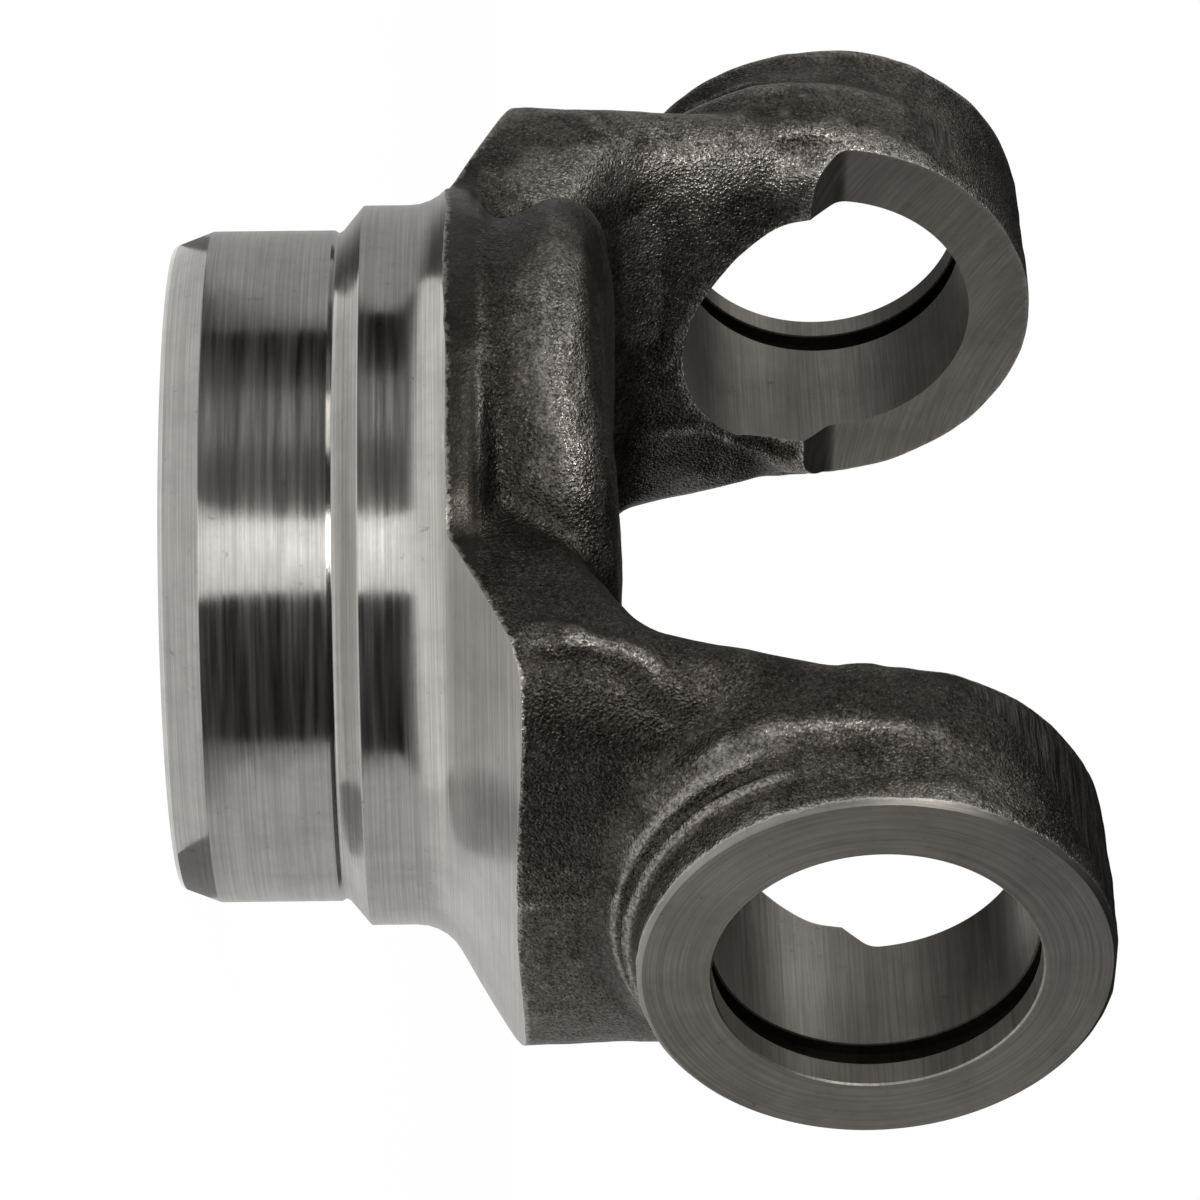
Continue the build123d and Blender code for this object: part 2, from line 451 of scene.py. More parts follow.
def forging_marks(points):
    """Lumps and lines left by the dies, in mm: each is a bell curve of the distance from its path.

    Two ridges with a groove between them follow each boss round its root, and a lump, the folds beside it
    and the line of the trimmed flash lie on the legs.
    """
    lines = [
        (0.50, 1.0, [(35.1, -23.3, 34.6), (35.6, -23.0, 37.6), (36.2, -22.6, 39.6), (38.1, -19.4, 42.8)]),
        (0.32, 0.8, [(37.0, -21.3, 32.5), (37.4, -20.8, 35.0), (37.9, -20.0, 37.2)]),
        (-0.35, 0.9, [(36.3, -22.0, 31.0), (36.4, -21.9, 34.5), (37.2, -21.2, 38.0), (39.0, -18.5, 41.5)]),
        (0.40, 0.7, [(-28.0, 11.5, 39.9), (-28.5, 8.9, 42.2), (-29.3, 8.9, 47.4), (-30.3, 11.1, 49.9)]),
        (0.35, 0.7, [(-30.3, 11.1, 49.9), (-31.8, 14.3, 53.0), (-33.4, 17.7, 55.9)]),
        (0.22, 0.6, [(-27.7, 2.1, 41.2), (-28.2, 0.5, 44.0), (-28.4, -3.3, 44.9)]),
        (0.22, 0.7, [(42.8, -0.8, 25.0), (42.9, -0.6, 29.7), (43.6, -1.4, 35.0), (45.8, -2.7, 39.5)]),
        (0.25, 0.6, [(40.8, 10.6, 24.5), (40.9, 10.8, 29.2), (41.0, 10.4, 33.0)]),
    ]
    away = (points - (34.9, -23.4, 32.6)) / (1.7, 1.7, 3.1)
    total = path_bells(points, lines) + 0.6 * np.exp(-((away**2).sum(1) ** 2))
    out = np.abs(points[:, 0])
    rise = points[:, 2] - BORE_HEIGHT
    reach = np.hypot(points[:, 1], rise)
    root = np.clip((-rise / np.maximum(reach, 1) - 0.32) / 0.3, 0, 1) * (reach < 24)
    folds = [(0.60, 45.9, 0.5), (-0.65, 45.0, 0.5), (0.60, 43.9, 0.7)]
    return total + root * sum(size * bell(out - middle, width) for size, middle, width in folds)


def apply_modifiers(piece):
    """Bakes a piece's modifiers into its mesh."""
    shown = bpy.context.evaluated_depsgraph_get()
    mesh = bpy.data.meshes.new_from_object(piece.evaluated_get(shown))
    piece.modifiers.clear()
    old = piece.data
    piece.data = mesh
    bpy.data.meshes.remove(old)
    return piece


def join(pieces, name):
    """One object that holds the meshes of all the pieces."""
    work = bmesh.new()
    for piece in pieces:
        work.from_mesh(piece.data)
    mesh = bpy.data.meshes.new(name)
    work.to_mesh(mesh)
    work.free()
    for piece in pieces:
        discard(piece)
    return placed(name, mesh)


def forged_blank():
    """The forging before machining: its forms welded into one skin, blended and made uneven."""
    s = sizes("yoke_forged")
    forms = [barrel_form(), leg_form(1), leg_form(-1), ear_form(1), ear_form(-1)]
    blank = join(forms, "forging")
    weld = blank.modifiers.new("weld", "REMESH")
    weld.mode = "VOXEL"
    weld.voxel_size = s.voxel * MM
    blend = blank.modifiers.new("blend", "SMOOTH")
    blend.factor = 0.5
    blend.iterations = s.blend
    apply_modifiers(blank)
    mesh = blank.data
    points = read(mesh.vertices, "co", 3).astype(float)
    out = rough_skin(points / MM, s.seed) + forging_marks(points / MM)
    points += read(mesh.vertex_normals, "vector", 3) * out[:, None] * MM
    gap = BOX_GAP * MM
    points[:, 2] = np.minimum(points[:, 2], CAD_HIGH.z - gap)
    points[:, 1] = np.clip(points[:, 1], CAD_LOW.y + gap, CAD_HIGH.y - gap)
    mesh.vertices.foreach_set("co", points.astype(np.float32).ravel())
    mesh.update()
    return blank


# Cutting tools


def turning_tool():
    """Solid that the lathe leaves: spigot, root groove, weld bevel, shoulder, cone and all above."""
    s = sizes("yoke_turned")
    rim, above = 62.0, 110
    cone_top = s.cone_start + (rim - s.shoulder_radius) / s.cone_slope
    root = s.spigot_length
    points = [
        (0, 0),
        (SPIGOT_RADIUS - s.lead_depth, 0),
        (SPIGOT_RADIUS, s.lead_length),
        (SPIGOT_RADIUS, root - 0.9),
        (SPIGOT_RADIUS - s.root_relief, root - 0.5),
        (SPIGOT_RADIUS, root - 0.1),
        (s.shoulder_radius, root + s.bevel_length),
        (s.shoulder_radius, s.cone_start),
        (rim, cone_top),
        (rim, above),
        (0, above),
    ]
    radii = [s.edge_round, 0.5, 0, 0.2, 0, s.edge_round, s.cone_fillet, 0, 0]
    profile = dense(rounded(points, radii), 1.2)[1:-1]
    return closed_form("turning", about_shaft(profile[:, 0], profile[:, 1], circle(256)))


def boring_tool():
    """Cutter for both bores: a plug with two rings for the snap-ring grooves and a small edge chamfer."""
    s = sizes("yoke_ear")
    groove_out = EAR_OUTER_FACE - s.groove_land
    groove_in = groove_out - s.groove_width
    deep = BORE_RADIUS + s.groove_depth
    edge, past = s.bore_edge, 4
    half = [
        (BORE_RADIUS, 0),
        (BORE_RADIUS, groove_in),
        (deep, groove_in),
        (deep, groove_out),
        (BORE_RADIUS, groove_out),
        (BORE_RADIUS, EAR_OUTER_FACE - edge),
        (BORE_RADIUS + edge, EAR_OUTER_FACE),
        (BORE_RADIUS + edge, EAR_OUTER_FACE + past),
    ]
    half = np.array(half)
    other = half[::-1][:-1] * (1, -1)
    profile = dense(np.concatenate([other, half]), 1.5)
    return closed_form("boring", about_bore(profile[:, 0], profile[:, 1], circle(160)))


def facing_tool(side):
    """Cutter for one outer ear face: flat, with a sloped rim that leaves the chamfer."""
    s = sizes("yoke_ear")
    face, rim = EAR_OUTER_FACE, EAR_RADIUS
    centre, slope, outside, past = 0.5, 1.2, 3.0, 6
    points = [
        (centre, face),
        (rim - s.chamfer, face),
        (rim + slope, face - s.chamfer - slope),
        (rim + outside, face - s.chamfer - slope),
        (rim + outside, face + past),
        (centre, face + past),
    ]
    profile = dense(points, 1.5)
    return closed_form("facing", about_bore(profile[:, 0], profile[:, 1], circle(192), side))


def milling_tool():
    """Cutter for the inner ear faces: flat sides, then a 45 degree slope that runs out in the leg."""
    s = sizes("yoke_ear")
    start = BORE_HEIGHT + s.milling_above_bore
    reach, above = 9.0, 100
    corners = [(s.inner_face - reach, start - reach), (s.inner_face, start), (s.inner_face, above)]
    half = rounded(corners, [s.milling_round], 8)
    outline = np.concatenate([half, half[::-1] * (-1, 1)])
    depth = np.linspace(-40, 40, 65)
    x = np.broadcast_to(outline[None, :, 0], (len(depth), len(outline)))
    z = np.broadcast_to(outline[None, :, 1], x.shape)
    y = np.broadcast_to(depth[:, None], x.shape)
    return closed_form("milling", np.stack([x, y, z], -1))


def recess_tool():
    """Forged cup in the spigot's end, with draft and a rounded floor."""
    s = sizes("yoke_turned")
    centre, outside, floor_round = 0.5, -3, 5
    points = [
        (centre, outside),
        (s.recess_mouth + 0.3, outside),
        (s.recess_mouth, 0),
        (s.recess_floor, s.recess_depth),
        (centre, s.recess_depth),
    ]
    profile = dense(rounded(points, [0, 0, floor_round]), 1.5)
    return closed_form("recess", about_shaft(profile[:, 0], profile[:, 1], circle(160)))


def cut(piece, tool, finish, operation="DIFFERENCE"):
    """Cuts a piece with one tool, which leaves its finish, and throws the tool away."""
    tool.data.materials.append(finish)
    step = piece.modifiers.new("cut", "BOOLEAN")
    step.object = tool
    step.operation = operation
    step.solver = "MANIFOLD"
    apply_modifiers(piece)
    discard(tool)


# Materials


class Nodes:
    """Short ways to add nodes and links to one node tree."""

    def __init__(self, tree):
        self.tree = tree

    def put(self, socket, value):
        """Links a socket, or sets a plain value on it."""
        if isinstance(value, bpy.types.NodeSocket):
            self.tree.links.new(value, socket)
        elif value is not None:
            socket.default_value = value

    def node(self, kind, **settings):
        """Adds a node and sets its properties."""
        made = self.tree.nodes.new(kind)
        for key, value in settings.items():
            setattr(made, key, value)
        return made

    def math(self, operation, a, b=None, clamp=False):
        """One Math node."""
        made = self.node("ShaderNodeMath", operation=operation, use_clamp=clamp)
        for socket, value in zip(made.inputs, (a, b)):
            self.put(socket, value)
        return made.outputs[0]

    def times(self, a, b):
        """Product of two numbers."""
        return self.math("MULTIPLY", a, b)

    def plus(self, a, b):
        """Sum of two numbers."""
        return self.math("ADD", a, b)

    def minus(self, a, b):
        """First number less the second."""
        return self.math("SUBTRACT", a, b)

    def vector(self, operation, a, b=None, scale=None):
        """One Vector Math node."""
        made = self.node("ShaderNodeVectorMath", operation=operation)
        self.put(made.inputs[0], a)
        self.put(made.inputs[1], b)
        if scale is not None:
            self.put(made.inputs["Scale"], scale)
        return made.outputs["Value" if operation in {"LENGTH", "DOT_PRODUCT"} else "Vector"]

    def noise(self, place, scale, detail=2.0, rough=0.5, dimensions="3D", w=None):
        """Fractal noise from 0 to 1."""
        made = self.node("ShaderNodeTexNoise", noise_dimensions=dimensions)
        self.put(made.inputs["Vector"], place)
        self.put(made.inputs["Scale"], scale)
        self.put(made.inputs["Detail"], detail)
        self.put(made.inputs["Roughness"], rough)
        if w is not None:
            self.put(made.inputs["W"], w)
        return made.outputs["Fac"]

    def ramp(self, value, low, high, to_low=0.0, to_high=1.0, smooth=True):
        """Value between two limits, brought to a new range and held there."""
        made = self.node("ShaderNodeMapRange", interpolation_type="SMOOTHSTEP" if smooth else "LINEAR")
        for name, given in (("Value", value), ("From Min", low), ("From Max", high)):
            self.put(made.inputs[name], given)
        self.put(made.inputs["To Min"], to_low)
        self.put(made.inputs["To Max"], to_high)
        return made.outputs["Result"]

    def mix(self, share, one, two):
        """Mix of two colours."""
        made = self.node("ShaderNodeMix", data_type="RGBA", clamp_factor=True)
        self.put(made.inputs[0], share)
        self.put(made.inputs[6], one)
        self.put(made.inputs[7], two)
        return made.outputs[2]

    def bump(self, height, distance):
        """Bump from a height, whose distance is given in metres."""
        made = self.node("ShaderNodeBump")
        self.put(made.inputs["Height"], height)
        made.inputs["Distance"].default_value = distance
        made.inputs["Strength"].default_value = 1.0
        return made.outputs["Normal"]

    def group(self, tree, **values):
        """Adds a node group with the values of its inputs."""
        made = self.node("ShaderNodeGroup", node_tree=tree)
        for key, value in values.items():
            self.put(made.inputs[key], value)
        return made.outputs

    def place(self):
        """Object coordinates in millimetres."""
        return self.vector("SCALE", self.node("ShaderNodeTexCoord").outputs["Object"], scale=1000.0)


def material(name):
    """Material by this name with no nodes yet, and its node helper."""
    made = bpy.data.materials.get(name) or bpy.data.materials.new(name)
    made.use_nodes = True
    made.node_tree.nodes.clear()
    return made, Nodes(made.node_tree)


def metal(name, metallic):
    """Metal: its material, its node helper, its shader's inputs and the place on the object."""
    made, n = material(name)
    shader = n.node("ShaderNodeBsdfPrincipled")
    n.put(n.node("ShaderNodeOutputMaterial").inputs["Surface"], shader.outputs["BSDF"])
    shader.inputs["Metallic"].default_value = metallic
    return made, n, shader.inputs, n.place()


def tone(colour, share=1.0):
    """Share of a colour, as a socket takes it."""
    return tuple(part * share for part in colour) + (1,)


def shared(name, build):
    """The shader group by this name, which a function builds when the file doesn't have it yet."""
    return bpy.data.node_groups.get(name) or build(name)


def new_group(name, inputs, outputs):
    """Empty shader group with named inputs and outputs, and its ends."""
    tree = bpy.data.node_groups.new(name, "ShaderNodeTree")
    for label, kind, default in inputs:
        socket = tree.interface.new_socket(label, in_out="INPUT", socket_type="NodeSocket" + kind)
        if default is not None:
            socket.default_value = default
    for label, kind in outputs:
        tree.interface.new_socket(label, in_out="OUTPUT", socket_type="NodeSocket" + kind)
    nodes = Nodes(tree)
    return tree, nodes, nodes.node("NodeGroupInput").outputs, nodes.node("NodeGroupOutput").inputs


def tool_lines_group(name):
    """Lines left by a cutting edge: noise that runs fast across the lines and slowly along them."""
    inputs = [("Place", "Vector", None), ("Across", "Float", 0.0)]
    inputs += [("Lines", "Float", 3.0), ("Drift", "Float", 0.12)]
    outputs = [("Fine", "Float"), ("Coarse", "Float")]
    tree, n, given, out = new_group(name, inputs, outputs)
    slow = n.vector("SCALE", given["Place"], scale=given["Drift"])
    across = n.times(given["Across"], given["Lines"])
    fine = n.noise(slow, 1.0, 2.0, 0.6, "4D", across)
    coarse = n.noise(slow, 1.7, 1.0, 0.5, "4D", n.times(across, 0.23))
    n.put(out["Fine"], fine)
    n.put(out["Coarse"], coarse)
    return tree


def wear_group(name):
    """Bright ragged line along the border of skin and machined face, from the stored distance in mm."""
    inputs = [("Place", "Vector", None), ("Width", "Float", 0.4)]
    tree, n, given, out = new_group(name, inputs, [("Mask", "Float")])
    stored = n.node("ShaderNodeAttribute", attribute_name="border").outputs["Fac"]
    ragged = n.noise(given["Place"], 1.6, 3.0, 0.6)
    reach = n.times(given["Width"], n.ramp(ragged, 0.35, 0.65, 0.25, 1.5))
    n.put(out["Mask"], n.math("SUBTRACT", 1.0, n.math("DIVIDE", stored, reach, clamp=True), clamp=True))
    return tree


def grain_group(name):
    """Grain of a forged skin: pits, crystals of scale and slow stains."""
    outputs = [("Height", "Float"), ("Stain", "Float"), ("Sparkle", "Float"), ("Grit", "Float")]
    tree, n, given, out = new_group(name, [("Place", "Vector", None)], outputs)
    place = given["Place"]
    broad = n.noise(place, 0.5, 3.0, 0.6)
    fine = n.noise(place, 3.3, 1.0, 0.6)
    cells = n.node("ShaderNodeTexVoronoi", feature="F1")
    n.put(cells.inputs["Vector"], place)
    cells.inputs["Scale"].default_value = 3.4
    pits = n.ramp(cells.outputs["Distance"], 0.08, 0.65)
    height = n.plus(n.times(fine, 0.8), n.times(pits, 0.3))
    n.put(out["Height"], n.plus(height, n.times(broad, 0.45)))
    n.put(out["Stain"], n.noise(place, 0.19, 5.0, 0.66))
    n.put(out["Sparkle"], n.ramp(n.noise(place, 4.3, 3.0, 0.8), 0.53, 0.68))
    n.put(out["Grit"], n.ramp(n.noise(place, 2.4, 3.0, 0.8), 0.34, 0.68, 0.35, 1.75, smooth=False))
    return tree


def ground_patches(n, place):
    """Where the ears were ground: a wedge on the near ear, and a spot on the far one.

    The wedge's border is an angle about the bore's axis that falls with the distance along that axis.
    """
    wedge_start, wedge_angle, wedge_fall = 35.0, 70.0, 3.4
    spot_centre, spot_size = (-40.5, -16.2, 69.4), (0.5, 0.75, 0.75)
    x, y, z = split(n, place)
    rise = n.minus(z, BORE_HEIGHT)
    angle = n.math("DEGREES", n.math("ARCTAN2", n.times(y, -1.0), rise))
    border = n.minus(wedge_angle, n.times(n.minus(x, wedge_start), wedge_fall))
    ragged = n.times(n.minus(n.noise(place, 0.8, 3.0), 0.5), 14.0)
    inside = n.plus(n.minus(border, angle), ragged)
    wedge = n.times(n.ramp(inside, -1.0, 2.0), n.ramp(angle, -14.0, -6.0))
    wedge = n.times(wedge, n.ramp(x, 29.0, 31.0))
    away = n.vector("LENGTH", n.vector("MULTIPLY", n.vector("SUBTRACT", place, spot_centre), spot_size))
    spot = n.ramp(n.plus(away, n.times(ragged, 0.06)), 0.9, 1.4, 1.0, 0.0)
    return n.math("MAXIMUM", wedge, spot)


def forged_skin():
    """Dark oxide skin: rough scale, smoother past the parting line, ground in places, rubbed bare on edges
    that stand out with painted highlights added there, and darker in hollows as painted shade.
    """
    made, n, shader, place = metal("forged_skin", 0.92)
    grain = n.group(shared("forged grain", grain_group), Place=place)
    x, y, z = split(n, place)
    wander = n.times(n.minus(n.noise(place, 0.30, 2.0), 0.5), 2.4)
    across_line = n.plus(y, wander)
    smooth_half = n.times(n.ramp(across_line, -0.5, 0.7), n.ramp(x, 36.0, 39.0))
    ground = ground_patches(n, place)
    streaks = n.noise(n.vector("MULTIPLY", place, (0.14, 3.2, 3.2)), 1.0, 3.0, 0.65)
    foot = n.ramp(n.plus(z, n.times(wander, 0.15)), 26.3, 26.9, 1.0, 0.0)
    foot_lines = n.noise(n.vector("MULTIPLY", place, (0.1, 0.1, 3.4)), 1.0, 2.0, 0.6)
    worn = n.group(shared("border wear", wear_group), Place=place, Width=0.4)
    out = n.node("ShaderNodeAttribute", attribute_name="stand_out").outputs["Fac"]
    patchy = n.times(n.minus(n.noise(place, 1.1, 3.0, 0.7), 0.5), 0.10)
    not_foot = n.minus(1.0, foot)
    # Lighter where the skin stands out: partly wear on its edges, partly painted highlight along given
    # paths.
    high = n.times(n.ramp(n.plus(out, patchy), 0.03, 0.13), not_foot)
    # Darker in hollows: painted shade.
    low = n.ramp(n.plus(out, patchy), 0.0, -0.09)
    scale = n.mix(n.ramp(grain["Stain"], 0.32, 0.68), (0.042, 0.0375, 0.0325, 1), (0.128, 0.117, 0.105, 1))
    layers = [
        (n.times(smooth_half, 0.55), (0.150, 0.138, 0.124, 1)),
        (n.times(grain["Sparkle"], 0.8), (0.30, 0.285, 0.262, 1)),
        # Painted shade in hollows.
        (n.times(low, 0.6), (0.028, 0.025, 0.021, 1)),
        # Wear on edges that stand out, and painted highlight.
        (n.times(high, 0.8), (0.27, 0.257, 0.236, 1)),
    ]
    for share, colour in layers:
        scale = n.mix(share, scale, colour)
    gritty = n.vector("SCALE", scale, scale=grain["Grit"])
    drawn = n.mix(n.ramp(streaks, 0.38, 0.62), (0.030, 0.026, 0.022, 1), (0.17, 0.158, 0.142, 1))
    rubbed = n.mix(n.times(ground, 0.8), gritty, drawn)
    banded = n.mix(n.times(foot, 0.75), rubbed, (0.052, 0.047, 0.041, 1))
    n.put(shader["Base Color"], n.mix(worn["Mask"], banded, (0.50, 0.48, 0.45, 1)))
    rough = n.ramp(grain["Height"], 0.5, 1.1, 0.52, 0.33, smooth=False)
    n.put(shader["Roughness"], n.minus(rough, n.times(high, 0.07)))
    calm = n.math("MAXIMUM", n.times(smooth_half, 0.45), n.math("MAXIMUM", foot, ground))
    height = n.times(grain["Height"], n.minus(1.0, n.times(calm, 0.75)))
    height = n.plus(height, n.times(n.times(streaks, ground), 0.9))
    height = n.plus(height, n.times(n.times(foot_lines, foot), 0.12))
    n.put(shader["Normal"], n.bump(height, 0.00014))
    return made


def machined(name, colour, across, lines, drift, rough, anisotropy, depth, tangent, painted_shade=None):
    """Machined steel with tool lines, whose gloss is drawn out across them. The optional shade is painted
    shade: it darkens the colour.
    """
    made, n, shader, place = metal(name, 1.0)
    given = {"Place": place, "Across": across(n, place), "Lines": lines, "Drift": drift}
    marks = n.group(shared("tool lines", tool_lines_group), **given)
    stain = n.noise(place, 0.22, 4.0, 0.65)
    spots = n.ramp(n.noise(place, 1.3, 4.0, 0.7), 0.60, 0.72, 0.0, 0.5)
    worn = n.group(shared("border wear", wear_group), Place=place, Width=0.2)
    tint = n.mix(n.ramp(marks["Fine"], 0.3, 0.7), tone(colour, 0.74), tone(colour))
    tint = n.mix(n.ramp(stain, 0.35, 0.75, 0.0, 0.4), tint, tone(colour, 0.55))
    tint = n.mix(n.times(spots, n.ramp(stain, 0.45, 0.6)), tint, tone(colour, 0.3))
    # Painted shade: darkens the colour nearly to black where the shade is 1.
    if painted_shade:
        tint = n.mix(painted_shade(n, place), tint, (0.020, 0.016, 0.012, 1))
    n.put(shader["Base Color"], n.mix(n.times(worn["Mask"], 0.5), tint, (0.6, 0.58, 0.55, 1)))
    gloss = n.ramp(marks["Coarse"], 0.3, 0.7, rough - 0.04, rough + 0.05, smooth=False)
    n.put(shader["Roughness"], n.plus(gloss, n.times(stain, 0.05)))
    shader["Anisotropic"].default_value = anisotropy
    shader["Anisotropic Rotation"].default_value = 0.25
    n.put(shader["Tangent"], tangent(n, place))
    height = n.plus(n.times(marks["Fine"], 0.5), marks["Coarse"])
    n.put(shader["Normal"], n.bump(height, depth))
    return made


def split(n, place):
    """The three parts of a place."""
    parts = n.node("ShaderNodeSeparateXYZ")
    n.put(parts.inputs[0], place)
    return parts.outputs


def from_bore(n, place):
    """Place measured from the bore's axis, with nothing along it."""
    return n.vector("MULTIPLY", n.vector("SUBTRACT", place, (0, 0, BORE_HEIGHT)), (0, 1, 1))


def round_bore(n, place):
    """Direction round the bore's axis."""
    return n.vector("NORMALIZE", n.vector("CROSS_PRODUCT", (1, 0, 0), from_bore(n, place)))


def turned_steel():
    """Lathe lines round the shaft axis: distance across is height plus radius."""

    def across(n, place):
        flat = n.vector("LENGTH", n.vector("MULTIPLY", place, (1, 1, 0)))
        return n.plus(split(n, place)[2], flat)

    def tangent(n, place):
        return n.vector("NORMALIZE", n.vector("CROSS_PRODUCT", (0, 0, 1), place))

    return machined("turned_steel", (0.60, 0.59, 0.57), across, 5.0, 0.05, 0.17, 0.8, 0.000005, tangent)


def bored_steel():
    """Broached bore: fine lines along its axis, and painted shade in the snap-ring grooves."""

    def across(n, place):
        y, z = split(n, from_bore(n, place))[1:]
        return n.times(n.math("ARCTAN2", z, y), BORE_RADIUS)

    # Painted shade inside the snap-ring grooves, from how far a point lies past the bore's radius.
    def painted_shade(n, place):
        radius = n.vector("LENGTH", from_bore(n, place))
        return n.ramp(radius, BORE_RADIUS + 0.12, BORE_RADIUS + 0.3, 0.0, 0.95)

    colour = (0.44, 0.418, 0.39)
    return machined("bored_steel", colour, across, 4.5, 0.09, 0.44, 0.3, 0.00003, round_bore, painted_shade)


def faced_steel():
    """Rings on the outer ear faces: distance across is the radius from the bore's axis."""

    def across(n, place):
        return n.vector("LENGTH", from_bore(n, place))

    return machined("faced_steel", (0.34, 0.325, 0.302), across, 6.0, 0.09, 0.46, 0.4, 0.000024, round_bore)


def milled_steel():
    """Arcs of a side mill on the inner ear faces: distance across is the radius from the mill's centre."""

    def middle(n, place):
        return n.vector("MULTIPLY", n.vector("SUBTRACT", place, (0, 26, BORE_HEIGHT + 62)), (0, 1, 1))

    def across(n, place):
        return n.vector("LENGTH", middle(n, place))

    def tangent(n, place):
        return n.vector("NORMALIZE", n.vector("CROSS_PRODUCT", (1, 0, 0), middle(n, place)))

    return machined("milled_steel", (0.38, 0.362, 0.335), across, 5.0, 0.16, 0.46, 0.35, 0.000024, tangent)


# Finishing the piece


def painted_highlights_and_shade(points):
    """Painted highlights and painted shade, in mm of standing out, as bell curves round given paths near
    edges.

    The lighter paths are painted highlights. The darker path on the drum's hump is painted shade, and so is
    the near leg's broad inner side, which gets less than nothing.
    """
    lines = [
        # Painted highlights along the far leg's corner and the throat.
        (0.20, 2.2, [(-20, -28, 29.5), (-26.1, -23.5, 32.1), (-27.9, -21.4, 37.5), (-30.6, -19.2, 46.6)]),
        (0.24, 1.7, [(-30.6, -19.2, 46.6), (-32.9, -18.1, 54), (-34.4, -18.2, 60.4), (-34.4, -16.4, 65.1)]),
        (0.32, 2.4, [(-28.6, -14.3, 40.7), (-27.8, -5.1, 40.7)]),
        # Painted shade on the top of the drum's hump.
        (-0.24, 6.0, [(-7.0, -33.0, 29.0), (-9.0, -31.0, 37.0)]),
        # Painted highlights along the near boss's root and the near ear's tip.
        (0.12, 0.9, [(45.9, 0, 38.9), (45.9, -5.0, 39.6), (45.9, -11.4, 42.6), (45.9, -16.3, 48.1)]),
        (0.12, 0.9, [(43.9, 0, 38.6), (43.9, -5.0, 39.3), (43.9, -11.4, 42.3), (43.9, -17.7, 48.2)]),
        (0.12, 1.3, [(48.4, -19.2, 59.8), (49.0, -18.5, 63.7), (49.5, -16.7, 67.7)]),
    ]
    x, y, _ = points.T
    # Painted shade: the near leg's broad inner side is made darker.
    calm = np.clip((x - 14) / 12, 0, 1) * np.clip(43.0 - x, 0, 1) * (y < 6)
    return path_bells(points, lines) - 0.17 * calm


def stand_out(mesh, rounds=14):
    """Stores how far each point stands out, in mm, from a copy of the skin smoothed many times over.

    Every round moves each point half way to the mean of its neighbours. Painted highlights and painted
    shade along given paths are added on top.
    """
    count = len(mesh.vertices)
    points = read(mesh.vertices, "co", 3).astype(float) / MM
    ends = read(mesh.edges, "vertices", 2, np.int32)
    one, two = ends.T
    links = np.bincount(ends.ravel(), minlength=count)[:, None]
    soft = points.copy()
    for _ in range(rounds):
        pairs = ((one, soft[two]), (two, soft[one]))
        sums = [sum(np.bincount(end, other[:, k], count) for end, other in pairs) for k in range(3)]
        soft = 0.5 * soft + 0.5 * np.stack(sums, 1) / links
    # Adds the painted highlights and painted shade along given paths.
    out = ((points - soft) * read(mesh.vertex_normals, "vector", 3)).sum(1) + painted_highlights_and_shade(points)
    store(mesh, "stand_out", out)


def border_distance(mesh, reach=3.0, rounds=10):
    """Stores each point's distance in mm from the nearest border between the skin and a machined finish.

    Border points start at nothing, and every edge passes its length on to its ends a few times over.
    """
    links = len(mesh.edges)
    points = read(mesh.vertices, "co", 3) / MM
    ends = read(mesh.edges, "vertices", 2, np.int32)
    length = np.linalg.norm(points[ends[:, 0]] - points[ends[:, 1]], axis=1)
    edge_of, finish, _ = loop_finish(mesh)
    low = np.full(links, 99)
    high = np.full(links, -1)
    np.minimum.at(low, edge_of, finish)
    np.maximum.at(high, edge_of, finish)
    skin_border = (low == 0) & (high > 0)
    distance = np.full(len(points), reach)
    distance[ends[skin_border].ravel()] = 0
    for _ in range(rounds):
        np.minimum.at(distance, ends[:, 0], distance[ends[:, 1]] + length)
        np.minimum.at(distance, ends[:, 1], distance[ends[:, 0]] + length)
    store(mesh, "border", distance)
    return low != high


def loop_finish(mesh):
    """For every corner its edge and its face's finish, and for every face how many corners it has."""
    corners = read(mesh.polygons, "loop_total", 1, np.int32)
    finish = read(mesh.polygons, "material_index", 1, np.int32)
    return read(mesh.loops, "edge_index", 1, np.int32), np.repeat(finish, corners), corners


def mark_edges(mesh, borders, limit=32.0):
    """Smooth shading, with sharp edges between finishes and at steep machined corners."""
    links = len(mesh.edges)
    edge_of, finish, corners = loop_finish(mesh)
    summed = np.zeros((links, 3))
    np.add.at(summed, edge_of, np.repeat(read(mesh.polygons, "normal", 3), corners, axis=0))
    steep = np.linalg.norm(summed, axis=1) < 2 * math.cos(math.radians(limit) / 2)
    machined_edge = np.ones(links, bool)
    machined_edge[edge_of[finish == 0]] = False
    mesh.shade_smooth()
    sharp = borders | (steep & machined_edge)
    marked = mesh.attributes.get("sharp_edge") or mesh.attributes.new("sharp_edge", "BOOLEAN", "EDGE")
    marked.data.foreach_set("value", sharp)


# Operators


class YOKE_OT_forging(bpy.types.Operator):
    """Builds the forging in one piece and machines it"""

    bl_idname = "yoke.forging"
    bl_label = "Forging"

    def execute(self, context):
        skin = forged_skin()
        turned, bored, faced, milled = turned_steel(), bored_steel(), faced_steel(), milled_steel()
        piece = forged_blank()
        for finish in (skin, turned, bored, faced, milled):
            piece.data.materials.append(finish)
        cut(piece, turning_tool(), turned, "INTERSECT")
        cut(piece, milling_tool(), milled)
        cut(piece, facing_tool(1), faced)
        cut(piece, facing_tool(-1), faced)
        cut(piece, boring_tool(), bored)
        cut(piece, recess_tool(), skin)
        piece.name = "forged_yoke_finished"
        piece.data.name = "forged_yoke_finished"
        stand_out(piece.data)
        mark_edges(piece.data, border_distance(piece.data))
        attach(piece, "root")
        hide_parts(NODE)
        return {"FINISHED"}


